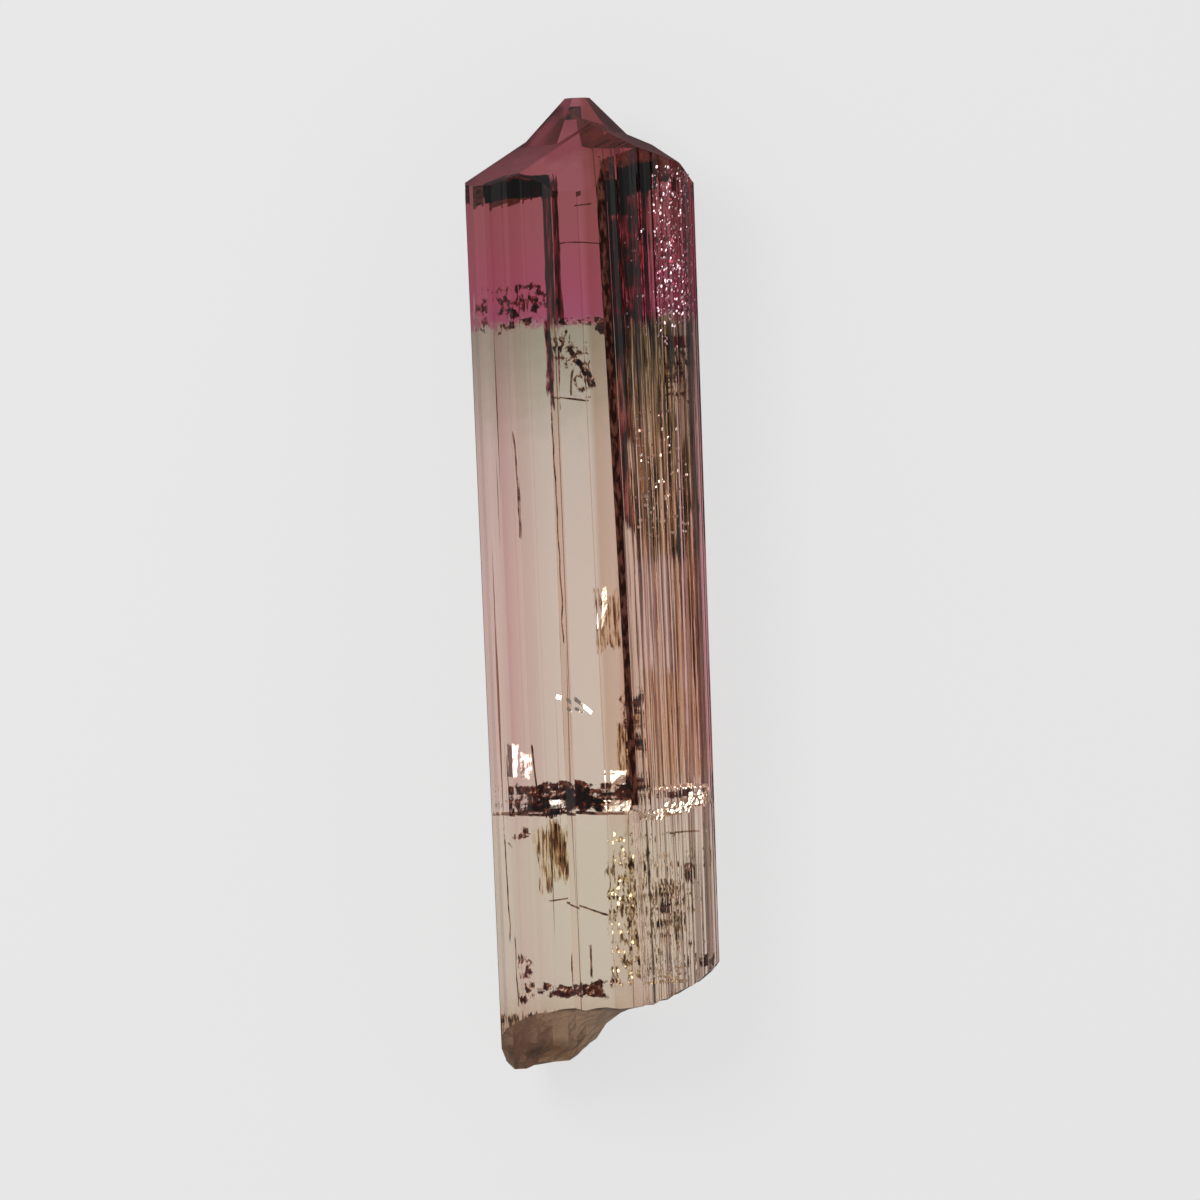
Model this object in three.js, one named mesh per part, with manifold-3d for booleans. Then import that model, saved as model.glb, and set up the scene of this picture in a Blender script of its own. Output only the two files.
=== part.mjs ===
// A bicolour tourmaline crystal, lying on one flat prism face.
//
// Units are millimetres and +Z is up. The long axis of the crystal runs along Y, with the
// pointed end at +Y and the broken end at -Y, and the crystal rests on its back prism face.
// The origin is in the middle of the crystal's box, on the surface that it rests on.

import * as THREE from 'three';
import { mergeVertices } from 'three/addons/utils/BufferGeometryUtils.js';
import Module from 'manifold-3d';

const wasm = await Module();
wasm.setup();

// Driving dimensions
const TOP = 14.8;               // tip of the point, along Y
const BOTTOM = -14.66;          // lowest splinter of the broken end
const OVERSHOOT = 1.5;          // the rough prism runs past both ends before it is cut
const TAPER = 0.0014;           // growth in width per millimetre towards the point
const RIDGE_LEAN = 0.0205;      // sideways drift of the front ridge per millimetre
const RIDGE_X = 0.78;           // where the front ridge stands at mid length
const TIDY = 0.002;             // edges shorter than this are closed up after the cuts
const SAME_PLACE = 0.0001;      // vertices closer than this are one

// The two kinds of end face of tourmaline, as rise over run away from the long axis
const STEEP = 1.032;            // the steep rhombohedron {02-21}, 45.9 degrees
const FLAT = 0.516;             // the flat rhombohedron {10-11}, 27.3 degrees

// Prism faces, anticlockwise seen from the point: the corner (x, z) where each one starts,
// then the number of growth striae along it and how deep they are
const PRISM = [
  { name: 'rest face', x: -2.15, z: 0, striae: 0, depth: 0 },
  { name: 'right under face', x: 0.25, z: 0, striae: 15, depth: 0.05 },
  { name: 'right side', x: 3.28, z: 1.75, striae: 2, depth: 0.03 },
  { name: 'right bevel', x: 3.46, z: 2.5, striae: 4, depth: 0.03 },
  { name: 'striated front face', x: 3.1, z: 3.5, striae: 19, depth: 0.028 },
  { name: 'ridge step', x: 1.0, z: 4.6, striae: 0, depth: 0 },
  { name: 'ridge face', x: RIDGE_X, z: 5.46, striae: 1, depth: 0.008 },
  { name: 'front window', x: 0.1, z: 5.655, striae: 2, depth: 0.006 },
  { name: 'window step', x: -0.78, z: 5.7, striae: 0, depth: 0 },
  { name: 'left window', x: -1.06, z: 5.5, striae: 3, depth: 0.008 },
  { name: 'left window rim', x: -2.1, z: 5.25, striae: 2, depth: 0.012 },
  { name: 'left bevel', x: -2.64, z: 5.03, striae: 3, depth: 0.018 },
  { name: 'lower left bevel', x: -3.12, z: 4.46, striae: 2, depth: 0.015 },
  { name: 'left side', x: -3.34, z: 3.93, striae: 4, depth: 0.02 },
  { name: 'left under side', x: -3.37, z: 2.7, striae: 2, depth: 0.025 },
  { name: 'left under face', x: -3.18, z: 1.9, striae: 10, depth: 0.05 },
];

// End faces: the azimuth they fall away to, in degrees from +Z towards +X, their slope, and
// the height that their plane reaches over the long axis at z = 0
const END_FACES = [
  { azimuth: 8, slope: STEEP, height: 17.7 },
  { azimuth: 128, slope: STEEP, height: 13.85 },
  { azimuth: -112, slope: STEEP, height: 14.12 },
  { azimuth: 68, slope: FLAT, height: 14.86 },
  { azimuth: -52, slope: FLAT, height: 14.88 },
  { azimuth: 188, slope: FLAT, height: 13.2 },
  { azimuth: 98, slope: STEEP, height: 15.32 },
];

// Ledges of the under side, lower than the end faces: they stop at a rib in the middle, so
// they have a span along X as well
const LEDGES = [
  { azimuth: -165, slope: STEEP, height: 12.07, span: [-8, -0.75] },
  { azimuth: 160, slope: STEEP, height: 11.85, span: [-0.05, 8] },
];

// Outline of the break seen from the front, left to right, where it meets the rest face
const BREAK_OUTLINE = [
  [-3.9, -13.8], [-3.3, -14.2], [-2.94, -14.64], [-2.2, -14.46], [-1.26, -14.38],
  [-1.01, -14.22], [-0.42, -13.72], [-0.1, -13.3], [0.35, -12.98], [0.92, -12.78],
  [1.78, -12.55], [2.77, -12.08], [3.46, -11.52], [4.2, -10.95],
];

// A repeatable run of numbers between 0 and 1, by the golden ratio
function sequence(start) {
  const GOLDEN = 0.6180339887;
  let value = start;
  return () => {
    value = (value + GOLDEN) % 1;
    return value;
  };
}

function toSolid(geometry) {
  const bare = geometry.clone();
  bare.deleteAttribute('normal');
  bare.deleteAttribute('uv');
  const merged = mergeVertices(bare, SAME_PLACE);
  return new wasm.Manifold(new wasm.Mesh({
    numProp: 3,
    vertProperties: new Float32Array(merged.attributes.position.array),
    triVerts: new Uint32Array(merged.index.array),
  }));
}

function toGeometry(solid) {
  const { vertProperties, triVerts } = solid.getMesh();
  const geometry = new THREE.BufferGeometry();
  geometry.setAttribute('position', new THREE.BufferAttribute(new Float32Array(vertProperties), 3));
  geometry.setIndex(new THREE.BufferAttribute(new Uint32Array(triVerts), 1));
  return geometry;
}

// Moves every vertex of a geometry by a function of its place
function deform(geometry, place) {
  const position = geometry.attributes.position;
  const point = new THREE.Vector3();
  for (let i = 0; i < position.count; i += 1) {
    point.fromBufferAttribute(position, i);
    place(point);
    position.setXYZ(i, point.x, point.y, point.z);
  }
  return geometry;
}

// One striated face as saw teeth: a short steep riser, then a long tread back to the face
function striate(face, next, random) {
  const NARROWEST = 0.35;
  const SHALLOWEST = 0.3;
  const STEEP_FIRST = 0.14;
  const STEEP_LAST = 0.8;
  const start = new THREE.Vector2(face.x, face.z);
  const run = new THREE.Vector2(next.x - face.x, next.z - face.z);
  const inward = new THREE.Vector2(-run.y, run.x).normalize();
  const widths = Array.from({ length: face.striae }, () => NARROWEST + random());
  const total = widths.reduce((sum, width) => sum + width, 0);
  const points = [start];
  let along = 0;
  widths.forEach((width, i) => {
    const share = width / total;
    const riser = random() < 0.5 ? STEEP_FIRST : STEEP_LAST;
    const depth = face.depth * (SHALLOWEST + random());
    points.push(start.clone().addScaledVector(run, along + riser * share).addScaledVector(inward, depth));
    along += share;
    if (i < widths.length - 1) points.push(start.clone().addScaledVector(run, along));
  });
  return points;
}

// The front ridge leans to one side along the crystal, and the whole of it tapers
function leanAndTaper(p) {
  const REACH_LEFT = 1.5;
  const REACH_RIGHT = 2.3;
  const FRONT = 3.7;
  const reach = p.x < RIDGE_X ? REACH_LEFT : REACH_RIGHT;
  const near = Math.max(0, 1 - Math.abs(p.x - RIDGE_X) / reach);
  if (p.z > FRONT) p.x -= RIDGE_LEAN * p.y * near;
  p.x *= 1 + TAPER * p.y;
  p.z *= 1 + TAPER * p.y;
}

// The rough prism: the striated section drawn out along Y
function prism() {
  const STEPS = 8;
  const random = sequence(0.37);
  const outline = PRISM.flatMap((face, i) => striate(face, PRISM[(i + 1) % PRISM.length], random));
  const length = TOP - BOTTOM + 2 * OVERSHOOT;
  const body = new THREE.ExtrudeGeometry(new THREE.Shape(outline), {
    depth: length,
    steps: STEPS,
    bevelEnabled: false,
  });
  body.rotateX(Math.PI / 2);
  body.translate(0, TOP + OVERSHOOT, 0);
  return deform(body, leanAndTaper);
}

// A block whose lower side is the plane of one end face: what is above it is cut away
function endCutter({ azimuth, slope, height, span }) {
  const SIZE = 40;
  const block = new THREE.BoxGeometry(SIZE, SIZE, SIZE);
  block.translate(0, SIZE / 2, 0);
  block.rotateX(Math.atan(slope));
  block.rotateY(THREE.MathUtils.degToRad(azimuth));
  block.translate(0, height, 0);
  if (!span) return toSolid(block);
  const [from, to] = span;
  const slab = new THREE.BoxGeometry(to - from, SIZE, SIZE);
  slab.translate((from + to) / 2, height, 0);
  return toSolid(block).intersect(toSolid(slab));
}

// The small blunt pyramid that stands on the meeting of the end faces. It faces the same ways
// as they do, and its back is upright
function pinnacle() {
  const TIP_RADIUS = 0.38;
  const SPREAD = 0.97;
  const HEIGHT = 1.8;
  const CENTRE = { x: 0.08, z: 2.4 };
  const SIDES = 6;
  const stub = new THREE.CylinderGeometry(TIP_RADIUS, TIP_RADIUS + SPREAD * HEIGHT, HEIGHT, SIDES);
  stub.rotateY(THREE.MathUtils.degToRad(END_FACES[0].azimuth) + Math.PI / SIDES);
  stub.translate(CENTRE.x, TOP - HEIGHT / 2, CENTRE.z);
  return deform(stub, (p) => {
    p.z = Math.max(p.z, CENTRE.z - TIP_RADIUS);
  });
}

// The broken end: a block under the outline of the break. The broken surface climbs to a
// nearly straight front edge, with shell-like ripples round one corner
function breakCutter() {
  const DROP = 8;
  const DEPTH = 9;
  const MARGIN = 1;
  const STEPS = 20;
  const POINTS_PER_MM = 2.6;
  const CLIMB_FROM = 2.2;
  const CLIMB_TO = 5.3;
  const FRONT_EDGE = -12.72;
  const RIPPLE = { x: 3.6, z: 5.5, height: 0.05, spacing: 0.9 };
  const top = [];
  BREAK_OUTLINE.slice(0, -1).forEach(([x, y], i) => {
    const [nextX, nextY] = BREAK_OUTLINE[i + 1];
    const parts = Math.max(1, Math.round((nextX - x) * POINTS_PER_MM));
    for (let k = 0; k < parts; k += 1) {
      top.push(new THREE.Vector2(x + (nextX - x) * k / parts, y + (nextY - y) * k / parts));
    }
  });
  const [lastX, lastY] = BREAK_OUTLINE.at(-1);
  top.push(new THREE.Vector2(lastX, lastY));
  const corners = [new THREE.Vector2(lastX, BOTTOM - DROP), new THREE.Vector2(top[0].x, BOTTOM - DROP)];
  const block = new THREE.ExtrudeGeometry(new THREE.Shape([...top, ...corners]), {
    depth: DEPTH,
    steps: STEPS,
    bevelEnabled: false,
  });
  block.translate(0, 0, -MARGIN);
  return deform(block, (p) => {
    if (p.y < BOTTOM - DROP / 2) return;
    const climbed = THREE.MathUtils.clamp((p.z - CLIMB_FROM) / (CLIMB_TO - CLIMB_FROM), 0, 1);
    const away = Math.hypot(p.x - RIPPLE.x, p.z - RIPPLE.z);
    p.y += climbed * Math.max(0, FRONT_EDGE - p.y);
    p.y += RIPPLE.height * Math.sin(2 * Math.PI * away / RIPPLE.spacing);
  });
}

// Where a striated face lies at a place across the section, and which way it faces
function onFace(index, share) {
  const face = PRISM[index];
  const next = PRISM[(index + 1) % PRISM.length];
  return {
    x: THREE.MathUtils.lerp(face.x, next.x, share),
    z: THREE.MathUtils.lerp(face.z, next.z, share),
    turn: Math.atan2(next.z - face.z, face.x - next.x),
  };
}

// A groove that runs out to a point at both ends: a long thin double pyramid laid in a face
function groove(index, share, middle, length, width, depth) {
  const { x, z, turn } = onFace(index, share);
  const spindle = new THREE.OctahedronGeometry(1);
  spindle.scale(width / 2, length / 2, depth);
  spindle.rotateY(turn);
  spindle.translate(x, middle, z);
  return deform(spindle, leanAndTaper);
}

// Growth grooves of many lengths, by face: how many, their mean length, width and depth
const GROOVES = [
  { face: 1, count: 16, length: 7, width: 0.16, depth: 0.05 },
  { face: 3, count: 4, length: 6, width: 0.1, depth: 0.04 },
  { face: 4, count: 22, length: 6, width: 0.12, depth: 0.03 },
  { face: 9, count: 3, length: 5, width: 0.05, depth: 0.015 },
  { face: 11, count: 5, length: 7, width: 0.08, depth: 0.03 },
  { face: 13, count: 6, length: 8, width: 0.1, depth: 0.04 },
  { face: 15, count: 12, length: 6, width: 0.14, depth: 0.07 },
];

function grooves() {
  const FURTHEST = 10;
  const SMALLEST = 0.5;
  const EDGE_GAP = 0.15;
  const random = sequence(0.11);
  const cuts = [];
  for (const { face, count, length, width, depth } of GROOVES) {
    for (let i = 0; i < count; i += 1) {
      const share = (i + THREE.MathUtils.lerp(EDGE_GAP, 1 - EDGE_GAP, random())) / count;
      const middle = THREE.MathUtils.lerp(-FURTHEST, FURTHEST, random());
      const size = SMALLEST + random();
      cuts.push(groove(face, share, middle, length * size, width * size, depth * size));
    }
  }
  return cuts;
}

function crystal() {
  let solid = toSolid(prism());
  for (const face of [...END_FACES, ...LEDGES]) solid = solid.subtract(endCutter(face));
  solid = solid.add(toSolid(pinnacle()));
  solid = solid.subtract(toSolid(breakCutter()));
  for (const cut of grooves()) solid = solid.subtract(toSolid(cut));
  return toGeometry(solid.simplify(TIDY));
}

const geometry = crystal();
geometry.computeBoundingBox();
const middle = geometry.boundingBox.getCenter(new THREE.Vector3());
geometry.translate(-middle.x, -middle.y, -geometry.boundingBox.min.z);
geometry.computeVertexNormals();

const tourmaline = new THREE.MeshStandardMaterial({ color: 0xc8a89c, roughness: 0.08, metalness: 0 });
const mesh = new THREE.Mesh(geometry, tourmaline);
mesh.name = 'crystal';

const part = new THREE.Group();
part.add(mesh);

export default part;
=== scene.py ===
"""Looks of a bicolour tourmaline crystal that lies on a pale studio floor.

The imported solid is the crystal's shape.  This script dresses a merged copy of it as clear,
colour-zoned tourmaline, and puts the cracks, veils and growth tubes inside it.
"""

import logging
import math
import random
from dataclasses import dataclass
from enum import Enum

import bmesh
import bpy
from mathutils import Euler, Matrix, Vector, noise
from mathutils.bvhtree import BVHTree


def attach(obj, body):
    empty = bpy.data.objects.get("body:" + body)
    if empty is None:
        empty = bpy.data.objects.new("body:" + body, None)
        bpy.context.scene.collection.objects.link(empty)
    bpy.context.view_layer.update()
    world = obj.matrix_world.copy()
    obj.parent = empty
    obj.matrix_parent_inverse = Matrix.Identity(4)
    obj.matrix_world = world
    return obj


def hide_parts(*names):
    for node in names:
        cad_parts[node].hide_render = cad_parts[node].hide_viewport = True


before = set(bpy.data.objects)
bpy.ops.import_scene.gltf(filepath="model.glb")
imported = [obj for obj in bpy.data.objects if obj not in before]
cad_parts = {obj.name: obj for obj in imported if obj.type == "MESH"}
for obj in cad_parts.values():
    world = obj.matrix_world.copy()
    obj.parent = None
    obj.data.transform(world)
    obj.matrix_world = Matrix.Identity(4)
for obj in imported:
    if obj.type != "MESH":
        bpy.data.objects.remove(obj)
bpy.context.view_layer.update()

NODE = "crystal"
BODY = "root"

MM = 0.001
PHOTO_SIZE_PX = 1200
PHOTO_PX_PER_MM = 33.0
PHOTO_CENTRE_MM = Vector((0.15, -0.53, 3.0))
CRYSTAL_LEAN_DEG = 2.18

# How deep a noise bites into a film's edge, how far the edge is set back for it, and how softly it ends
TEETH_BITE = 4.0
TEETH_SETBACK = 2.6
TEETH_SOFTNESS = 0.12
FILM_THICK_MM = 0.008
# Without a seed of its own, the noise that moves a film's corners takes one from the clock
WANDER_SEED = 7

# Places between 0 and 1 on a colour ramp, each with its sRGB hex colour
Stops = tuple[tuple[float, str], ...]

log = logging.getLogger("tourmaline")


def linear(hex_colour: str) -> tuple[float, float, float, float]:
    """Turn an sRGB hex colour into linear values.

    Args:
        hex_colour: six hex digits.

    Returns:
        Red, green, blue and an alpha of 1, as a shader socket takes them.
    """
    channels = [int(hex_colour[i:i + 2], 16) / 255 for i in (0, 2, 4)]
    red, green, blue = (c / 12.92 if c <= 0.04045 else ((c + 0.055) / 1.055) ** 2.4 for c in channels)
    return red, green, blue, 1.0


def add_node(tree: bpy.types.NodeTree, kind: str, links: dict | None = None, **settings) -> bpy.types.Node:
    """Add one shader node with its settings and its links.

    Args:
        tree: the node tree that gets the node.
        kind: the node's type name.
        links: input name or number to the output socket, or the plain value, that it takes.
        **settings: properties of the node.

    Returns:
        The new node.
    """
    node = tree.nodes.new(kind)
    for name, value in settings.items():
        setattr(node, name, value)
    for name, value in (links or {}).items():
        socket = node.inputs[name]
        if isinstance(value, bpy.types.NodeSocket):
            tree.links.new(value, socket)
        else:
            socket.default_value = value
    return node


def start_material(name: str) -> tuple[bpy.types.Material, bpy.types.NodeTree]:
    """Make a material whose node tree is still empty.

    Args:
        name: the material's name.

    Returns:
        The material and its node tree.
    """
    material = bpy.data.materials.new(name)
    material.use_nodes = True
    tree = material.node_tree
    tree.nodes.clear()
    return material, tree


def fill_ramp(ramp: bpy.types.ColorRamp, stops: Stops) -> None:
    """Give a colour ramp its stops.

    Args:
        ramp: the ramp of a colour ramp node.
        stops: place between 0 and 1 and sRGB hex colour, from low to high.
    """
    for element, (at, colour) in zip(ramp.elements, (stops[0], stops[-1])):
        element.position = at
        element.color = linear(colour)
    for at, colour in stops[1:-1]:
        ramp.elements.new(at).color = linear(colour)


def torn_edge(
    tree: bpy.types.NodeTree, ragged: float, teeth_mm: tuple[float, float],
) -> bpy.types.NodeSocket:
    """Work out where a film is whole: 1 in its middle, 0 outside an edge that a noise makes ragged.

    Args:
        tree: the film's node tree.
        ragged: how far the noise eats into the film, as a share of its half width.
        teeth_mm: the width of the ragged teeth and their length along the crystal.

    Returns:
        The socket that carries the mask.
    """
    flat = add_node(tree, "ShaderNodeUVMap")
    centred = add_node(tree, "ShaderNodeVectorMath", {
        0: flat.outputs["UV"], 1: (2, 2, 0), 2: (-1, -1, 0),
    }, operation="MULTIPLY_ADD")
    apart = add_node(tree, "ShaderNodeVectorMath", {0: centred.outputs[0]}, operation="ABSOLUTE")
    sides = add_node(tree, "ShaderNodeSeparateXYZ", {0: apart.outputs[0]})
    furthest = add_node(tree, "ShaderNodeMath", {
        0: sides.outputs["X"], 1: sides.outputs["Y"],
    }, operation="MAXIMUM")
    place = add_node(tree, "ShaderNodeTexCoord")
    width, length = teeth_mm
    drawn_out = add_node(tree, "ShaderNodeMapping", {
        "Vector": place.outputs["Object"], "Scale": (1 / (width * MM), 1 / (length * MM), 1 / (width * MM)),
    })
    teeth = add_node(tree, "ShaderNodeTexNoise", {
        "Vector": drawn_out.outputs["Vector"], "Scale": 1.0, "Detail": 4.0, "Roughness": 0.6,
    })
    eaten = add_node(tree, "ShaderNodeMath", {
        0: teeth.outputs[0], 1: TEETH_BITE * ragged, 2: 1 - TEETH_SETBACK * ragged,
    }, operation="MULTIPLY_ADD")
    left = add_node(tree, "ShaderNodeMath", {
        0: eaten.outputs[0], 1: furthest.outputs[0],
    }, operation="SUBTRACT")
    edge = add_node(tree, "ShaderNodeMapRange", {
        "Value": left.outputs[0], "From Min": 0.0, "From Max": TEETH_SOFTNESS,
    })
    return edge.outputs["Result"]


class Skin(Enum):
    """How a part of the crystal's surface has grown or broken."""

    GLASSY = 0
    ETCHED = 1
    BROKEN = 2
    STAINED = 3


@dataclass(frozen=True)
class ZonedTourmaline:
    """Natural elbaite, coloured in zones as it grew: clear where its faces are glassy."""

    name: str
    roughness: float
    bump_mm: float = 0.0
    grain_mm: float = 0.25
    shade_hex: str = "FFFFFF"
    ior: float = 1.63
    absorb_hex: str = "E6BEA9"
    absorb_density_per_m: float = 90.0
    jag_grain_mm: float = 0.6
    jag_mm: float = 1.8
    half_length_mm: float = 15.0
    half_width_mm: float = 3.5
    pink_edges_from_mm: float = -8.0
    pink_edges_full_mm: float = -5.0
    faint_edges: float = 0.5
    # From the broken base to the point
    zone_stops: Stops = (
        (0.0, "D8C8A8"), (0.06, "E6DCC4"), (0.10, "F6F4E4"), (0.24, "F8FAE6"), (0.27, "FCF8EA"),
        (0.5, "FEF6EC"), (0.64, "F4F0E6"), (0.68, "E0E0D2"), (0.74, "C4C8B6"), (0.7635, "BEC0AE"),
        (0.7665, "C06C90"), (0.80, "C26884"), (0.87, "B86E78"), (0.915, "B46A74"), (0.935, "9A3E4E"),
        (1.0, "A8606C"),
    )
    # From the left edge to the right one
    side_stops: Stops = (
        (0.0, "F0C8D4"), (0.08, "F8E4E8"), (0.13, "E8BCC8"), (0.20, "F2DCDE"), (0.34, "FFFFFF"),
        (0.505, "FFFFFF"), (0.53, "DCBEA8"), (0.64, "EED4CA"), (0.90, "F0D4D6"), (0.94, "E4B0BE"),
        (1.0, "CC84A0"),
    )

    def make(self) -> bpy.types.Material:
        """Build the material and return it."""
        material, tree = start_material(self.name)
        place = add_node(tree, "ShaderNodeTexCoord")
        split = add_node(tree, "ShaderNodeSeparateXYZ", {0: place.outputs["Object"]})
        # The growth front between pink and green is jagged, so the zones are shifted by a coarse noise
        jag = add_node(tree, "ShaderNodeTexNoise", {
            "Vector": place.outputs["Object"], "Scale": 1 / (self.jag_grain_mm * MM),
            "Detail": 4.0, "Roughness": 0.65,
        })
        shift = add_node(tree, "ShaderNodeMath", {
            0: jag.outputs[0], 1: self.jag_mm * MM, 2: -self.jag_mm / 2 * MM,
        }, operation="MULTIPLY_ADD")
        jagged = add_node(tree, "ShaderNodeMath", {
            0: split.outputs["Y"], 1: shift.outputs[0],
        }, operation="ADD")
        along = add_node(tree, "ShaderNodeMapRange", {
            "Value": jagged.outputs[0],
            "From Min": -self.half_length_mm * MM, "From Max": self.half_length_mm * MM,
        })
        zones = add_node(tree, "ShaderNodeValToRGB", {"Fac": along.outputs["Result"]})
        fill_ramp(zones.color_ramp, self.zone_stops)
        across = add_node(tree, "ShaderNodeMapRange", {
            "Value": split.outputs["X"],
            "From Min": -self.half_width_mm * MM, "From Max": self.half_width_mm * MM,
        })
        sides = add_node(tree, "ShaderNodeValToRGB", {"Fac": across.outputs["Result"]})
        fill_ramp(sides.color_ramp, self.side_stops)
        rosy = add_node(tree, "ShaderNodeMapRange", {
            "Value": split.outputs["Y"],
            "From Min": self.pink_edges_from_mm * MM, "From Max": self.pink_edges_full_mm * MM,
            "To Min": self.faint_edges, "To Max": 1.0,
        })
        tint = add_node(tree, "ShaderNodeMix", {
            "Factor": rosy.outputs["Result"], "A": zones.outputs["Color"], "B": sides.outputs["Color"],
        }, data_type="RGBA", blend_type="MULTIPLY")
        shaded = add_node(tree, "ShaderNodeMix", {
            "Factor": 1.0, "A": tint.outputs["Result"], "B": linear(self.shade_hex),
        }, data_type="RGBA", blend_type="MULTIPLY")
        glass = add_node(tree, "ShaderNodeBsdfPrincipled", {
            "Base Color": shaded.outputs["Result"],
            "Roughness": self.roughness, "IOR": self.ior, "Transmission Weight": 1.0,
        })
        if self.bump_mm:
            grain = add_node(tree, "ShaderNodeTexNoise", {
                "Vector": place.outputs["Object"], "Scale": 1 / (self.grain_mm * MM), "Detail": 3.0,
            })
            bump = add_node(tree, "ShaderNodeBump", {
                "Height": grain.outputs[0], "Distance": self.bump_mm * MM, "Strength": 1.0,
            })
            tree.links.new(bump.outputs["Normal"], glass.inputs["Normal"])
        haze = add_node(tree, "ShaderNodeVolumeAbsorption", {
            "Color": linear(self.absorb_hex), "Density": self.absorb_density_per_m,
        })
        add_node(tree, "ShaderNodeOutputMaterial", {
            "Surface": glass.outputs["BSDF"], "Volume": haze.outputs["Volume"],
        })
        return material


@dataclass(frozen=True)
class StainedFilm:
    """Iron stain in a crack or growth tube: it only filters the light that crosses the crystal."""

    name: str
    grain_mm: tuple[float, float, float]
    ragged: float
    stops: Stops
    teeth_mm: tuple[float, float] = (0.35, 0.35)

    def make(self) -> bpy.types.Material:
        """Build the material and return it."""
        material, tree = start_material(self.name)
        place = add_node(tree, "ShaderNodeTexCoord")
        stretched = add_node(tree, "ShaderNodeMapping", {
            "Vector": place.outputs["Object"], "Scale": tuple(1 / (size * MM) for size in self.grain_mm),
        })
        mottle = add_node(tree, "ShaderNodeTexNoise", {
            "Vector": stretched.outputs["Vector"], "Scale": 1.0, "Detail": 3.0, "Roughness": 0.6,
        })
        ramp = add_node(tree, "ShaderNodeValToRGB", {"Fac": mottle.outputs[0]})
        fill_ramp(ramp.color_ramp, self.stops)
        edged = add_node(tree, "ShaderNodeMix", {
            "Factor": torn_edge(tree, self.ragged, self.teeth_mm),
            "A": (1, 1, 1, 1), "B": ramp.outputs["Color"],
        }, data_type="RGBA")
        film = add_node(tree, "ShaderNodeBsdfPrincipled", {
            "Base Color": edged.outputs["Result"], "Roughness": 0.0, "IOR": 1.0, "Transmission Weight": 1.0,
        })
        add_node(tree, "ShaderNodeOutputMaterial", {"Surface": film.outputs["BSDF"]})
        return material


@dataclass(frozen=True)
class AirFilm:
    """Air in an open crack: the crystal mirrors light against it."""

    name: str
    colour_hex: str
    roughness: float
    bump_mm: float
    grain_mm: float
    ragged: float = 0.25
    teeth_mm: tuple[float, float] = (0.25, 0.25)

    def make(self) -> bpy.types.Material:
        """Build the material and return it."""
        material, tree = start_material(self.name)
        place = add_node(tree, "ShaderNodeTexCoord")
        grain = add_node(tree, "ShaderNodeTexNoise", {
            "Vector": place.outputs["Object"], "Scale": 1 / (self.grain_mm * MM), "Detail": 2.0,
        })
        bump = add_node(tree, "ShaderNodeBump", {
            "Height": grain.outputs[0], "Distance": self.bump_mm * MM, "Strength": 1.0,
        })
        film = add_node(tree, "ShaderNodeBsdfPrincipled", {
            "Base Color": linear(self.colour_hex), "Metallic": 1.0, "Roughness": self.roughness,
            "Normal": bump.outputs["Normal"], "Alpha": torn_edge(tree, self.ragged, self.teeth_mm),
        })
        add_node(tree, "ShaderNodeOutputMaterial", {"Surface": film.outputs["BSDF"]})
        return material


@dataclass(frozen=True)
class StainedStep:
    """Brown iron stain dried onto a steep step: dull and dark."""

    name: str = "iron_stained_step"
    dark_hex: str = "341814"
    light_hex: str = "865040"
    dark_below: float = 0.45
    light_above: float = 0.6
    grain_mm: float = 0.4
    roughness: float = 0.9

    def make(self) -> bpy.types.Material:
        """Build the material and return it."""
        material, tree = start_material(self.name)
        place = add_node(tree, "ShaderNodeTexCoord")
        mottle = add_node(tree, "ShaderNodeTexNoise", {
            "Vector": place.outputs["Object"], "Scale": 1 / (self.grain_mm * MM), "Detail": 3.0,
        })
        ramp = add_node(tree, "ShaderNodeValToRGB", {"Fac": mottle.outputs[0]})
        fill_ramp(ramp.color_ramp, (
            (self.dark_below, self.dark_hex), (self.light_above, self.light_hex),
        ))
        stain = add_node(tree, "ShaderNodeBsdfPrincipled", {
            "Base Color": ramp.outputs["Color"], "Roughness": self.roughness, "Specular IOR Level": 0.05,
        })
        add_node(tree, "ShaderNodeOutputMaterial", {"Surface": stain.outputs["BSDF"]})
        return material


SKINS = {
    Skin.GLASSY: ZonedTourmaline("glassy_tourmaline", roughness=0.03),
    Skin.ETCHED: ZonedTourmaline("etched_tourmaline", roughness=0.38, bump_mm=0.02, shade_hex="F0DCE4"),
    Skin.BROKEN: ZonedTourmaline(
        "broken_tourmaline", roughness=0.36, bump_mm=0.06, grain_mm=0.3, shade_hex="8A6A50",
    ),
    Skin.STAINED: StainedStep(),
}


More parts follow.
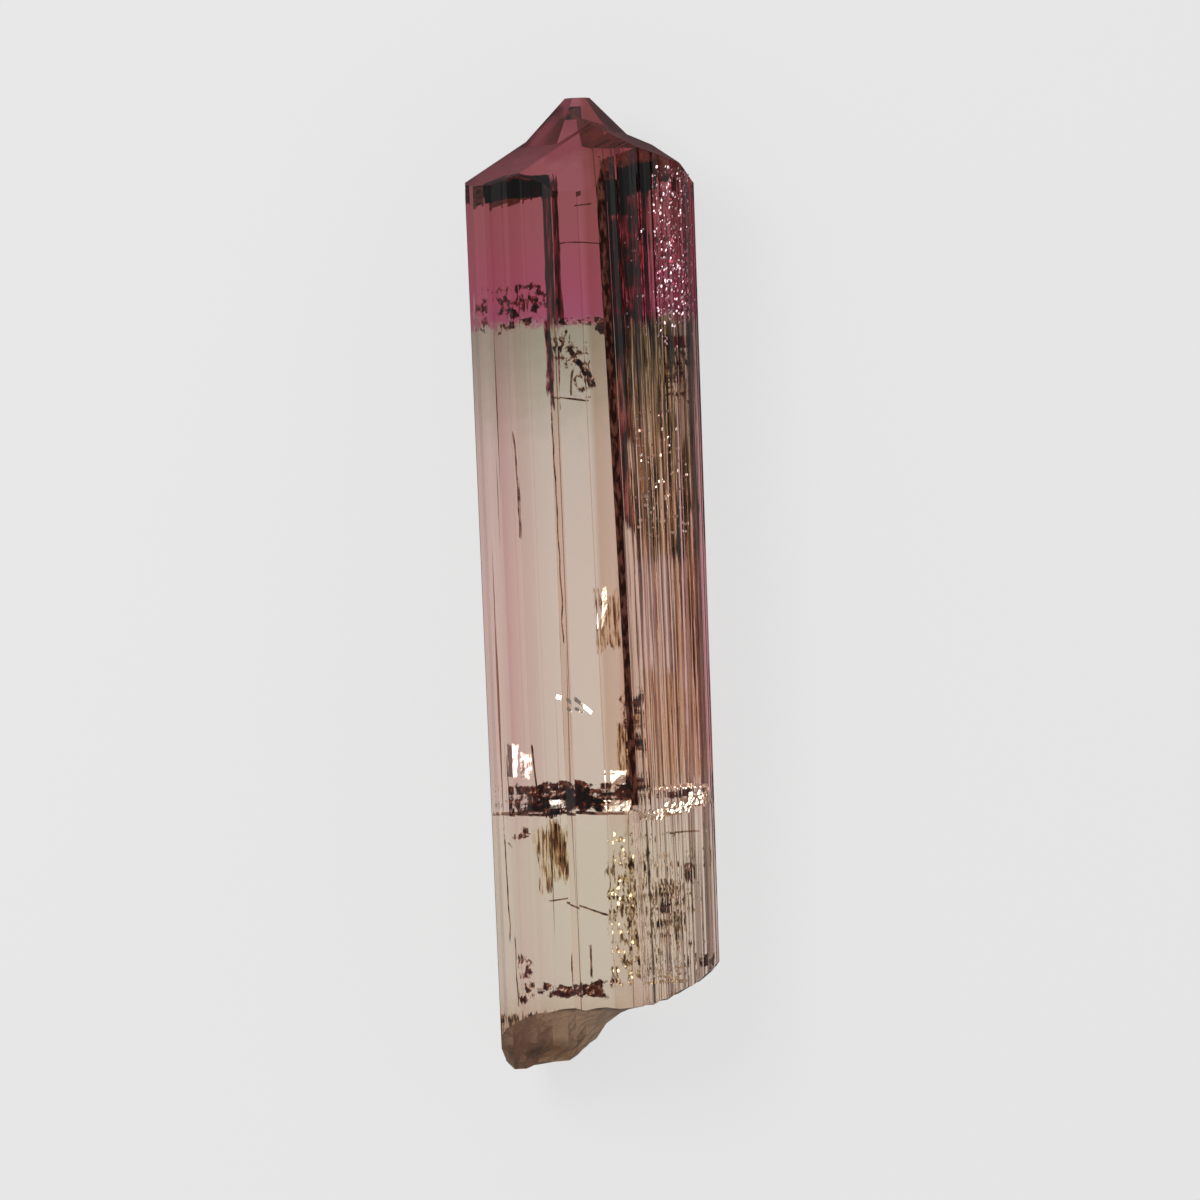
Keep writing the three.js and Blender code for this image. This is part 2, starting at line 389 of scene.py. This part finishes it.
class Inside(Enum):
    """What fills a crack or tube inside the crystal, and the dark sheets of painted shade under the point.
    """

    TUBES = StainedFilm("growth_tubes", (0.10, 7.0, 5.0), 0.16, (
        (0.34, "3A2218"), (0.40, "7A5238"), (0.44, "B88C68"), (0.47, "FCE4B8"), (0.53, "E4CCB4"),
        (0.60, "FFF8F0")),
        teeth_mm=(0.12, 3.5))
    OLIVE_TUBES = StainedFilm("olive_growth_tubes", (0.11, 2.6, 5.0), 0.16, (
        (0.34, "201A10"), (0.42, "605236"), (0.48, "A2946C"), (0.53, "D8CCAA"), (0.60, "FCF4E2")),
        teeth_mm=(0.12, 3.5))
    MAROON = StainedFilm("maroon_flaws", (0.16, 0.6, 0.5), 0.16, (
        (0.36, "380F14"), (0.45, "80343E"), (0.53, "B86C76"), (0.62, "F8D0D4")), teeth_mm=(0.15, 0.8))
    MAUVE = StainedFilm("mauve_veil", (0.10, 0.22, 0.5), 0.16, (
        (0.36, "B08E9A"), (0.43, "ECDCE0"), (0.48, "FFFFFF")), teeth_mm=(0.15, 0.8))
    BLACK = StainedFilm("black_fissure", (0.08, 1.3, 0.5), 0.16, (
        (0.38, "1C0C0C"), (0.50, "602A28"), (0.60, "B87470")), teeth_mm=(0.12, 1.2))
    HAIRLINE = StainedFilm("hairline_cracks", (0.3, 0.3, 0.5), 0.3, (
        (0.40, "4A2C24"), (0.60, "B08C78")), teeth_mm=(0.4, 0.6))
    BROWN = StainedFilm("brown_flaws", (0.15, 0.15, 0.5), 0.55, (
        (0.42, "341714"), (0.55, "6E3C30"), (0.62, "A87460"), (0.68, "FFF4EC")), teeth_mm=(0.45, 0.45))
    VEINS = StainedFilm("brown_veins", (0.20, 0.28, 0.5), 0.45, (
        (0.40, "381A16"), (0.46, "7A4A3A"), (0.50, "DCC0B0"), (0.54, "FFFFFF")), teeth_mm=(0.35, 0.6))
    RUST = StainedFilm("rusty_feather", (0.07, 0.8, 0.5), 0.4, (
        (0.36, "5C3C28"), (0.45, "A07C5C"), (0.52, "E4D0B0"), (0.60, "FFFAF0")), teeth_mm=(0.2, 1.1))
    SPECKLE = StainedFilm("olive_speckles", (0.14, 0.42, 0.5), 0.4, (
        (0.34, "3A2A1C"), (0.41, "8C7454"), (0.46, "E8DCC4"), (0.50, "FFFFFF")), teeth_mm=(0.4, 1.2))
    # Painted shade: a near-black film behind the under faces of the point, standing in for light lost
    # inside the crystal
    SMOKE = StainedFilm("painted_shade_under_face", (0.5, 0.35, 0.5), 0.0, (
        (0.45, "060303"), (0.60, "12060A"), (0.72, "481C22")))
    # Painted shade: dark sheets for the arches below the point, where light is lost inside the crystal
    PAINTED_ARCH_SHADE = StainedFilm("painted_arch_shade", (0.4, 0.3, 0.5), 0.12, (
        (0.45, "160808"), (0.60, "30120F"), (0.70, "6A3030")), teeth_mm=(0.3, 0.3))
    GLINT = AirFilm("air_film", "FFF8F0", roughness=0.12, bump_mm=0.008, grain_mm=0.3)
    FROST = AirFilm("frosted_air_film", "FFF6E4", roughness=0.22, bump_mm=0.01, grain_mm=0.25)
    CREAM_STEP = AirFilm("cream_crack_steps", "FFF0DC", roughness=0.2, bump_mm=0.004, grain_mm=0.1)
    PINK_PIT = AirFilm("pink_growth_pits", "F0CCD4", roughness=0.2, bump_mm=0.004, grain_mm=0.1)
    GOLD = AirFilm("golden_air_film", "FCECCC", roughness=0.14, bump_mm=0.01, grain_mm=0.25)


@dataclass
class CrystalBody:
    """The crystal itself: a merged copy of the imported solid, dressed as clear tourmaline."""

    merge_mm: float = 0.0005
    flat_deg: float = 0.3
    etched_azimuths_deg: tuple[float, ...] = (-52.0, 68.0)
    end_cos: float = 0.3
    like_turn_deg: float = 8.0
    broken_below_mm: float = -10.5
    broken_cos: float = 0.2
    riser_cos: float = 0.9
    riser_reach_mm: tuple[float, float] = (0.2, 1.7)
    riser_above_mm: float = 4.3
    stain_from_mm: float = -6.75

    def build(self) -> bpy.types.Object:
        """Copy the solid, join its loose triangles and dress it.

        Returns:
            The finished piece.
        """
        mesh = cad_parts[NODE].data.copy()
        bm = bmesh.new()
        bm.from_mesh(mesh)
        bmesh.ops.remove_doubles(bm, verts=bm.verts, dist=self.merge_mm * MM)
        bmesh.ops.dissolve_limit(
            bm, angle_limit=math.radians(self.flat_deg), verts=bm.verts, edges=bm.edges,
            use_dissolve_boundaries=False,
        )
        bmesh.ops.bisect_plane(
            bm, geom=[*bm.verts, *bm.edges, *bm.faces],
            plane_co=(0, self.stain_from_mm * MM, 0), plane_no=(0, 1, 0),
        )
        bm.normal_update()
        for face in bm.faces:
            face.material_index = self.skin_of(face).value
            face.smooth = False
        mesh.materials.clear()
        for skin in Skin:
            mesh.materials.append(SKINS[skin].make())
        bm.to_mesh(mesh)
        bm.free()
        mesh.name = "tourmaline"
        piece = bpy.data.objects.new("tourmaline", mesh)
        bpy.context.scene.collection.objects.link(piece)
        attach(piece, BODY)
        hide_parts(NODE)
        return piece

    def skin_of(self, face: bmesh.types.BMFace) -> Skin:
        """Tell how a face has grown or broken from where it is and the way it faces."""
        middle = face.calc_center_median() / MM
        if face.normal.y < -self.broken_cos and middle.y < self.broken_below_mm:
            return Skin.BROKEN
        nearest, furthest = self.riser_reach_mm
        high_enough = middle.z > self.riser_above_mm
        on_riser = face.normal.x > self.riser_cos and high_enough and nearest < middle.x < furthest
        if on_riser and middle.y > self.stain_from_mm:
            return Skin.STAINED
        turn = math.degrees(math.atan2(face.normal.x, face.normal.z))
        turned_so = any(abs(turn - azimuth) < self.like_turn_deg for azimuth in self.etched_azimuths_deg)
        if face.normal.y > self.end_cos and turned_so:
            return Skin.ETCHED
        return Skin.GLASSY


def finish_piece(name: str, bm: bmesh.types.BMesh, material: bpy.types.Material) -> bpy.types.Object:
    """Turn a mesh under construction into a piece of the crystal.

    Args:
        name: the piece's name.
        bm: the mesh, in metres; it is freed here.
        material: what it is made of.

    Returns:
        The finished piece.
    """
    bmesh.ops.recalc_face_normals(bm, faces=bm.faces)
    mesh = bpy.data.meshes.new(name)
    bm.to_mesh(mesh)
    bm.free()
    mesh.materials.append(material)
    piece = bpy.data.objects.new(name, mesh)
    bpy.context.scene.collection.objects.link(piece)
    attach(piece, BODY)
    return piece


def set_down(place_mm: Vector, lean_x_deg: float, lean_y_deg: float, spin_deg: float) -> Matrix:
    """Work out how a level sheet at the origin is spun in its own plane, leaned and put in its place.

    Args:
        place_mm: where its middle goes, in millimetres.
        lean_x_deg: how far it leans about X.
        lean_y_deg: how far it leans about Y.
        spin_deg: how far it is spun first.

    Returns:
        The matrix that does it.
    """
    lean = Euler((math.radians(lean_x_deg), math.radians(lean_y_deg), 0)).to_matrix().to_4x4()
    spin = Matrix.Rotation(math.radians(spin_deg), 4, "Z")
    return Matrix.Translation(place_mm * MM) @ lean @ spin


@dataclass(frozen=True)
class Film:
    """A thin ruffled sheet inside the crystal: a crack, a stain or a bundle of tubes."""

    place_mm: tuple[float, float, float]
    size_mm: tuple[float, float]
    turn_deg: tuple[float, float, float] = (0.0, 0.0, 0.0)
    ruffle_mm: float = 0.05
    wander_mm: float = 0.08
    cell_mm: float = 0.2
    fewest_cells: int = 2
    most_cells: int = 40
    wander_scale_mm: float = 0.9
    ruffle_scale_mm: float = 0.5
    seed_step: float = 3.7
    thick_mm: float = FILM_THICK_MM

    def add_to(self, bm: bmesh.types.BMesh) -> None:
        """Add the sheet to a mesh under construction."""
        cells = [
            max(self.fewest_cells, min(self.most_cells, round(side / self.cell_mm)))
            for side in self.size_mm
        ]
        sheet = bmesh.ops.create_grid(
            bm, x_segments=cells[0], y_segments=cells[1], size=0.5, calc_uvs=True,
        )["verts"]
        bmesh.ops.scale(bm, vec=(self.size_mm[0] * MM, self.size_mm[1] * MM, 1.0), verts=sheet)
        seed = Vector(self.place_mm) * self.seed_step
        for vert in sheet:
            drift = noise.noise_vector(vert.co / (self.wander_scale_mm * MM) + seed) * self.wander_mm * MM
            rise = self.ruffle_mm * MM * noise.noise(vert.co / (self.ruffle_scale_mm * MM) + seed)
            vert.co += Vector((drift.x, drift.y, rise))
        faces = list(dict.fromkeys(face for vert in sheet for face in vert.link_faces))
        back = bmesh.ops.solidify(bm, geom=faces, thickness=self.thick_mm * MM)["geom"]
        verts = list({*sheet, *(item for item in back if isinstance(item, bmesh.types.BMVert))})
        bmesh.ops.transform(bm, matrix=set_down(Vector(self.place_mm), *self.turn_deg), verts=verts)


@dataclass(frozen=True)
class Flakes:
    """A cloud of tiny flat flakes, inside the crystal or on its surface, each tilted its own way."""

    count: int
    low_mm: tuple[float, float, float]
    high_mm: tuple[float, float, float]
    radius_mm: tuple[float, float]
    stretch: float
    tilt_deg: float
    seed: int
    lit_deg: tuple[float, float]
    surface: BVHTree | None = None
    spin_deg: float = 30.0
    corners: int = 5
    taper: float = 0.8
    thick_mm: float = 0.01

    def add_to(self, bm: bmesh.types.BMesh) -> None:
        """Add the flakes to a mesh under construction."""
        dice = random.Random(self.seed)
        for _ in range(self.count):
            place = Vector([dice.uniform(low, high) for low, high in zip(self.low_mm, self.high_mm)])
            if self.surface:
                spot = self.surface.ray_cast(place * MM, Vector((0, 0, -1)))[0]
                if spot is None:
                    continue
                place = spot / MM
            lean = [lit + dice.uniform(-self.tilt_deg, self.tilt_deg) for lit in self.lit_deg]
            radius = dice.uniform(*self.radius_mm) * MM
            matrix = set_down(place, *lean, dice.uniform(-self.spin_deg, self.spin_deg))
            matrix = matrix @ Matrix.Diagonal((1, self.stretch, 1, 1))
            flake = bmesh.ops.create_cone(
                bm, cap_ends=True, segments=self.corners, radius1=radius, radius2=radius * self.taper,
                depth=self.thick_mm * MM, matrix=matrix,
            )["verts"]
            # The middle of a film is whole, so a flake takes its place on the map there
            for loop in {loop for vert in flake for loop in vert.link_loops}:
                loop[bm.loops.layers.uv.active].uv = (0.5, 0.5)


@dataclass(frozen=True)
class InnerWorld:
    """Everything inside the crystal that shows in front of the pale floor."""

    right_z_mm: float = 2.4
    front_z_mm: float = 4.6
    drop_from_mm: float = 9.0

    def rows(self, skin: BVHTree) -> dict[Inside, tuple[Film | Flakes, ...]]:
        """List the sheets and flakes by what fills them.

        Args:
            skin: the crystal's surface, for the flakes that lie in its pits.

        Returns:
            The sheets and flakes of each filling.
        """
        right, front, above = self.right_z_mm, self.front_z_mm, self.drop_from_mm
        # A film this turned mirrors the key light, under a level, a left and a right front face
        lit, lit_left, lit_right = (-7.3, -9.4), (-7.5, -15.3), (-7.3, 4.3)
        lit_far_left, lit_far_right, lit_in_air = (-7.5, -24.0), (-7.3, 7.0), (-13.4, -17.0)
        return {
            Inside.OLIVE_TUBES: (
                Film((1.9, 4.3, right), (2.0, 8.6), ruffle_mm=0.2),
                Film((2.55, 4.9, right - 0.3), (0.7, 6.6), ruffle_mm=0.1),
            ),
            Inside.TUBES: (
                Film((2.5, -1.9, right), (0.9, 10.4), ruffle_mm=0.2),
                Film((1.6, -4.6, right), (1.0, 4.4)),
                Film((1.5, 3.6, right), (0.9, 6.0)),
            ),
            Inside.MAROON: (
                Film((1.3, 9.75, 3.6), (1.5, 4.6), ruffle_mm=0.2),
                Film((1.15, 9.8, 2.2), (1.5, 4.8), ruffle_mm=0.2),
                Film((-1.0, 6.9, 5.0), (0.4, 2.6)),
                Film((2.65, 7.2, 3.2), (1.0, 0.42)),
            ),
            Inside.MAUVE: (
                Film((2.7, 9.85, 2.6), (1.3, 4.6), ruffle_mm=0.2),
            ),
            Inside.BLACK: (
                Film((-0.86, 9.95, 5.05), (0.44, 5.1), turn_deg=(0, 0, 1)),
                Film((-0.95, 6.5, 5.1), (0.14, 2.8), turn_deg=(0, 0, 1)),
                Film((0.98, 9.0, 4.0), (0.6, 5.0), turn_deg=(0, 0, 2)),
                Film((1.0, 5.9, 4.1), (0.6, 4.2), turn_deg=(0, 0, 2)),
                Film((0.97, 3.2, 4.1), (0.42, 3.8), turn_deg=(0, 0, 2)),
            ),
            # Painted shade: dark sheets for the dark arches below the point
            Inside.PAINTED_ARCH_SHADE: (
                Film((-2.4, 11.85, 4.65), (0.85, 0.6), turn_deg=(0, 0, 10)),
                Film((-1.5, 11.93, 5.0), (1.4, 0.66), turn_deg=(0, 0, -3)),
                Film((1.6, 12.15, 3.6), (1.6, 1.0), turn_deg=(0, 0, 10)),
                Film((1.05, 11.6, 4.15), (0.8, 1.2)),
            ),
            Inside.HAIRLINE: (
                Film((0.05, 11.35, 5.0), (0.7, 0.06), turn_deg=(0, 0, 4)),
                Film((-0.05, 10.2, 5.1), (1.6, 0.05)),
                Film((-1.1, -6.93, 3.2), (4.5, 0.12), turn_deg=(0, 0, -2)),
                Film((2.3, -7.65, 3.2), (1.7, 0.07), turn_deg=(0, 0, 3)),
                Film((-0.6, -9.8, 4.8), (1.4, 0.08), turn_deg=(0, 0, -20)),
                Film((-1.4, -9.5, 4.8), (0.7, 0.06), turn_deg=(0, 0, 4)),
                Film((-1.0, -11.3, 4.8), (0.07, 1.9)),
                Film((-0.5, -11.4, 4.8), (0.1, 1.3)),
                Film((-0.5, 5.55, 5.1), (1.2, 0.08), turn_deg=(0, 0, -14)),
                Film((-0.45, 6.0, 5.1), (0.08, 1.0), turn_deg=(0, 0, -6)),
                Film((-2.15, 2.9, 4.9), (0.07, 4.2), turn_deg=(0, 0, 1)),
                Film((-0.95, 1.8, 5.2), (0.06, 9.0), turn_deg=(0, 0, 1)),
                Film((-2.7, -11.6, 4.6), (0.06, 2.6), turn_deg=(0, 0, 1)),
                Film((-2.9, -9.0, 4.4), (0.06, 4.4), turn_deg=(0, 0, 1)),
                Film((-2.75, -5.9, 4.6), (0.07, 1.8)),
                Film((-2.0, -5.6, 4.9), (0.07, 1.9), turn_deg=(0, 0, 2)),
            ),
            Inside.BROWN: (
                Film((0.42, 7.75, 5.0), (0.6, 0.7)),
                Film((1.95, -6.5, 3.0), (1.5, 0.3), turn_deg=(0, 0, 6)),
                Film((-1.15, -6.55, 3.6), (3.6, 1.2)),
                Film((-1.1, -6.6, 3.9), (3.2, 0.9)),
                Film((-1.0, -6.15, 4.0), (2.6, 0.5), turn_deg=(0, 0, -4)),
                Film((0.6, -6.3, 3.8), (1.3, 1.4)),
                Film((2.75, -11.5, 2.4), (1.0, 0.5), turn_deg=(0, 0, 28)),
                Film((-0.95, -12.25, 4.4), (2.5, 0.6)),
            ),
            Inside.VEINS: (
                Film((-1.85, 8.6, front), (2.4, 1.2), turn_deg=(0, 0, 8)),
                Film((-1.75, 8.4, front + 0.1), (1.5, 0.5), turn_deg=(0, 0, 32)),
                Film((-2.9, 8.2, front - 0.4), (0.9, 1.2)),
                Film((-1.9, 7.9, front), (2.0, 0.35), turn_deg=(0, 0, 14)),
                Film((-0.35, 7.85, 5.2), (1.2, 0.3)),
                Film((-0.45, 6.7, 5.1), (0.8, 2.4), turn_deg=(0, 0, 20)),
                Film((-0.1, 6.5, 5.0), (0.5, 2.0), turn_deg=(0, 0, 12)),
                Film((2.58, 6.1, 3.1), (1.2, 1.7)),
                Film((0.85, -4.3, 3.9), (0.9, 2.6)),
                Film((-2.45, -7.6, 4.4), (0.9, 0.3), turn_deg=(0, 0, 40)),
                Film((-2.4, -11.8, 4.6), (0.5, 2.0)),
                Film((3.0, -8.4, 2.6), (0.4, 0.9)),
                Film((2.4, -8.9, 3.2), (0.8, 0.9)),
                Film((1.8, -9.75, 3.2), (1.2, 1.1)),
            ),
            Inside.RUST: (
                Film((-1.5, -8.2, 4.4), (1.3, 2.4), turn_deg=(0, 0, 12)),
                Film((-1.3, -8.0, 4.2), (0.9, 1.8), turn_deg=(0, 0, -6)),
                Film((0.7, -5.3, 3.6), (1.0, 3.2)),
                Film((0.3, -1.2, 4.4), (0.8, 2.2)),
                Film((-1.95, -13.5, 1.4), (1.8, 1.4)),
            ),
            Inside.SPECKLE: (
                Film((0.55, -10.0, 4.0), (1.5, 5.6)),
                Film((0.7, -10.0, 2.6), (1.0, 5.2)),
                Film((1.8, -9.9, 3.2), (1.8, 4.2)),
                Film((-2.0, -13.5, 1.9), (1.9, 1.4)),
            ),
            Inside.GLINT: (
                Film((-2.55, -5.3, 4.5), (0.32, 1.2), turn_deg=(*lit_far_left, 0), ruffle_mm=0.01),
                Film((-2.2, -5.45, 4.5), (0.34, 1.0), turn_deg=(*lit_left, 0), ruffle_mm=0.01),
                Film((-0.5, -3.68, 4.8), (0.85, 0.13), turn_deg=(*lit, -42),
                     ruffle_mm=0.01, wander_mm=0.02),
                Film((-0.62, -3.82, 4.8), (0.4, 0.12), turn_deg=(*lit, -31),
                     ruffle_mm=0.01, wander_mm=0.02),
                Film((-1.12, -3.4, 4.7), (0.2, 0.16), turn_deg=(*lit_left, -20),
                     ruffle_mm=0.01, wander_mm=0.02),
                Film((0.16, -0.8, 4.9), (0.18, 1.6), turn_deg=(*lit, 0), ruffle_mm=0.01),
                Film((0.4, -5.9, 4.3), (0.6, 0.55), turn_deg=(*lit, 0), ruffle_mm=0.04),
                Film((0.35, -6.75, 4.3), (0.9, 0.4), turn_deg=(*lit, 0), ruffle_mm=0.04),
                Film((-1.25, -6.6, 4.3), (0.6, 0.3), turn_deg=(*lit, 0), ruffle_mm=0.03),
                Flakes(70, (1.3, 1.2, 3.2), (2.9, 5.2, 3.5), (0.02, 0.06), 1.3, 6, 5, lit_right),
                Flakes(160, (2.15, 7.8, 3.0), (3.1, 12.4, 3.3), (0.03, 0.07), 1.4, 6, 6, lit_far_right),
                Flakes(24, (0.9, 8.0, 3.3), (2.0, 11.2, 3.9), (0.02, 0.05), 1.3, 6, 7, lit_right),
            ),
            Inside.FROST: (
                Film((1.75, -7.02, 3.6), (1.5, 0.40), turn_deg=(*lit_right, 12), ruffle_mm=0.01),
                Film((2.75, -6.68, 2.8), (1.2, 0.46), turn_deg=(*lit_far_right, 24), ruffle_mm=0.01),
                Film((2.2, -6.27, 2.6), (2.2, 0.14), turn_deg=(*lit_right, 0), ruffle_mm=0.01),
            ),
            Inside.CREAM_STEP: (
                Flakes(34, (1.05, -7.18, above), (1.85, -6.92, above),
                       (0.04, 0.08), 1.2, 5, 11, lit_in_air, skin),
                Flakes(40, (1.8, -7.02, above), (2.65, -6.74, above),
                       (0.05, 0.09), 1.2, 5, 12, lit_in_air, skin),
                Flakes(44, (2.6, -6.78, above), (3.3, -6.42, above),
                       (0.05, 0.10), 1.2, 5, 13, lit_in_air, skin),
                Flakes(40, (1.2, -6.32, above), (3.25, -6.25, above),
                       (0.02, 0.04), 0.8, 6, 14, lit_in_air, skin),
                Flakes(30, (1.3, 1.4, above), (2.9, 4.8, above),
                       (0.02, 0.05), 1.4, 12, 15, lit_in_air, skin),
                Flakes(24, (0.9, -12.0, above), (2.4, -11.4, above),
                       (0.03, 0.06), 1.0, 12, 16, lit_in_air, skin),
            ),
            Inside.PINK_PIT: (
                Flakes(300, (2.2, 8.0, above), (3.35, 12.5, above),
                       (0.012, 0.042), 1.7, 12, 17, lit_in_air, skin),
                Flakes(70, (2.1, 7.0, above), (3.3, 9.6, above),
                       (0.012, 0.042), 2.0, 12, 18, lit_in_air, skin),
                Flakes(14, (1.2, 7.4, above), (2.1, 11.4, above),
                       (0.02, 0.045), 1.3, 14, 19, lit_in_air, skin),
            ),
            Inside.GOLD: (
                Flakes(60, (0.05, -12.2, 3.6), (0.75, -7.6, 4.4), (0.03, 0.07), 1.5, 6, 8, lit),
                Flakes(50, (1.1, -12.2, 2.8), (2.1, -11.7, 3.4), (0.04, 0.08), 0.8, 6, 9, lit_right),
                Flakes(40, (1.2, -11.6, 3.0), (3.0, -7.6, 3.2), (0.03, 0.06), 1.2, 6, 10, lit_right),
            ),
        }

    def build(self, body: bpy.types.Object) -> list[bpy.types.Object]:
        """Make one piece for each filling.

        Args:
            body: the dressed crystal.

        Returns:
            The finished pieces.
        """
        faces = [tuple(face.vertices) for face in body.data.polygons]
        skin = BVHTree.FromPolygons([vert.co for vert in body.data.vertices], faces)
        pieces = []
        for filling, parts in self.rows(skin).items():
            bm = bmesh.new()
            bm.loops.layers.uv.new("UVMap")
            for part in parts:
                part.add_to(bm)
            pieces.append(finish_piece(filling.name.lower(), bm, filling.value.make()))
        return pieces


@dataclass(frozen=True)
class PaintedShadeLedges:
    """Painted shade: dark films behind the under faces of the point, where light from along the axis is
    lost.
    """

    inset_mm: float = 0.02
    facing_cos: float = 0.35
    above_mm: float = 9.0
    below_mm: float = 0.8
    left_of_mm: float = 2.3
    thick_mm: float = FILM_THICK_MM

    def build(self, body: bpy.types.Object) -> bpy.types.Object:
        """Copy the under faces of the point and set them a little inside.

        Args:
            body: the dressed crystal.

        Returns:
            The finished piece.
        """
        bm = bmesh.new()
        bm.from_mesh(body.data)
        bm.normal_update()
        rest = [
            face for face in bm.faces
            if not (face.normal.y > self.facing_cos and face.normal.z < -self.facing_cos
                    and face.calc_center_median().y > self.above_mm * MM)
        ]
        bmesh.ops.delete(bm, geom=rest, context="FACES")
        for place, facing in (((0, 0, self.below_mm), (0, 0, 1)), ((self.left_of_mm, 0, 0), (1, 0, 0))):
            bmesh.ops.bisect_plane(
                bm, geom=[*bm.verts, *bm.edges, *bm.faces],
                plane_co=Vector(place) * MM, plane_no=facing, clear_outer=True,
            )
        slip = Vector((0, -1, 1)) * self.inset_mm * MM
        bmesh.ops.translate(bm, verts=bm.verts, vec=slip)
        bmesh.ops.solidify(bm, geom=bm.faces, thickness=self.thick_mm * MM)
        return finish_piece("painted_shade_ledges", bm, Inside.SMOKE.value.make())


@dataclass
class Studio:
    """Pale floor, soft light and the camera that looks down on the lying crystal."""

    lens_mm: float = 300.0
    sensor_mm: float = 36.0
    floor_hex: str = "E3E3E3"
    floor_glow: float = 0.87
    floor_half_mm: float = 60.0
    # From straight below to straight above: dim, with a lighter ring all round
    sky_stops: Stops = ((0.46, "6E6E6E"), (0.52, "B0B0B0"), (0.80, "B0B0B0"), (0.95, "6E6E6E"))
    sheet_hex: str = "8C8C8C"
    floor_gap_mm: float = 0.005
    key_place_mm: tuple[float, float, float] = (-90.0, 70.0, 130.0)
    key_side_mm: float = 80.0
    key_watts: float = 0.075
    clip_start_mm: float = 1.0
    clip_end_mm: float = 10000.0

    def build(self) -> None:
        """Make the floor, the world, the light and the camera."""
        self.make_floor()
        self.make_world()
        self.make_light("key_softbox", Vector(self.key_place_mm), self.key_side_mm, self.key_watts)
        self.make_camera()

    def make_floor(self) -> None:
        """Lay a pale sheet that glows softly."""
        bm = bmesh.new()
        bmesh.ops.create_grid(bm, x_segments=1, y_segments=1, size=self.floor_half_mm * MM)
        mesh = bpy.data.meshes.new("floor")
        bm.to_mesh(mesh)
        bm.free()
        floor = bpy.data.objects.new("floor", mesh)
        floor.location.z = -self.floor_gap_mm * MM
        # As under a polarising filter, the steep facets don't mirror the bright sheet
        floor.visible_glossy = False
        bpy.context.scene.collection.objects.link(floor)
        material, tree = start_material("pale_backlit_sheet")
        sheet = add_node(tree, "ShaderNodeBsdfPrincipled", {
            "Base Color": linear(self.sheet_hex), "Roughness": 0.9, "Specular IOR Level": 0.0,
            "Emission Color": linear(self.floor_hex), "Emission Strength": self.floor_glow,
        })
        add_node(tree, "ShaderNodeOutputMaterial", {"Surface": sheet.outputs["BSDF"]})
        mesh.materials.append(material)

    def make_world(self) -> None:
        """Give the camera a pale surround, and the crystal a dim one with a soft ring of light."""
        world = bpy.data.worlds.new("studio")
        bpy.context.scene.world = world
        world.use_nodes = True
        tree = world.node_tree
        tree.nodes.clear()
        seen = add_node(tree, "ShaderNodeLightPath")
        pale = add_node(tree, "ShaderNodeBackground", {"Color": linear(self.floor_hex), "Strength": 1.0})
        heading = add_node(tree, "ShaderNodeTexCoord")
        split = add_node(tree, "ShaderNodeSeparateXYZ", {0: heading.outputs["Generated"]})
        climb = add_node(tree, "ShaderNodeMapRange", {
            "Value": split.outputs["Z"], "From Min": -1.0, "From Max": 1.0,
        })
        ring = add_node(tree, "ShaderNodeValToRGB", {"Fac": climb.outputs["Result"]})
        fill_ramp(ring.color_ramp, self.sky_stops)
        dim = add_node(tree, "ShaderNodeBackground", {"Color": ring.outputs["Color"], "Strength": 1.0})
        mix = add_node(tree, "ShaderNodeMixShader", {
            0: seen.outputs["Is Camera Ray"], 1: dim.outputs[0], 2: pale.outputs[0],
        })
        add_node(tree, "ShaderNodeOutputWorld", {"Surface": mix.outputs[0]})

    def make_light(self, name: str, place_mm: Vector, side_mm: float, watts: float) -> None:
        """Hang one square softbox that faces the crystal.

        Args:
            name: the light's name.
            place_mm: where it hangs, in millimetres.
            side_mm: the length of its side.
            watts: its power.
        """
        data = bpy.data.lights.new(name, "AREA")
        data.shape = "SQUARE"
        data.size = side_mm * MM
        data.energy = watts
        lamp = bpy.data.objects.new(name, data)
        lamp.location = place_mm * MM
        lamp.rotation_mode = "QUATERNION"
        lamp.rotation_quaternion = (-place_mm).to_track_quat("-Z", "Y")
        bpy.context.scene.collection.objects.link(lamp)

    def make_camera(self) -> None:
        """Look straight down, rolled so that the crystal leans as it does in the photograph."""
        data = bpy.data.cameras.new("camera")
        data.sensor_width = self.sensor_mm
        data.lens = self.lens_mm
        data.clip_start = self.clip_start_mm * MM
        data.clip_end = self.clip_end_mm * MM
        camera = bpy.data.objects.new("camera", data)
        field_mm = PHOTO_SIZE_PX / PHOTO_PX_PER_MM
        distance_mm = field_mm * self.lens_mm / self.sensor_mm
        camera.location = (PHOTO_CENTRE_MM + Vector((0, 0, distance_mm))) * MM
        camera.rotation_euler = Euler((0, 0, -math.radians(CRYSTAL_LEAN_DEG)))
        bpy.context.scene.collection.objects.link(camera)
        bpy.context.scene.camera = camera


def set_look() -> None:
    """Plain colours with no film curve, and enough bounces for light to cross the crystal."""
    scene = bpy.context.scene
    scene.view_settings.view_transform = "Standard"
    scene.view_settings.look = "None"
    scene.cycles.max_bounces = 24
    scene.cycles.transmission_bounces = 20
    scene.cycles.glossy_bounces = 12
    scene.cycles.transparent_max_bounces = 24
    scene.cycles.sample_clamp_indirect = 6.0


def main() -> None:
    """Build the crystal and its studio."""
    logging.basicConfig(level=logging.INFO, format="%(name)s: %(message)s")
    noise.seed_set(WANDER_SEED)
    set_look()
    Studio().build()
    body = CrystalBody().build()
    pieces = [body, PaintedShadeLedges().build(body), *InnerWorld().build(body)]
    for piece in pieces:
        log.info("%s has %d faces", piece.name, len(piece.data.polygons))


if __name__ == "__main__":
    main()
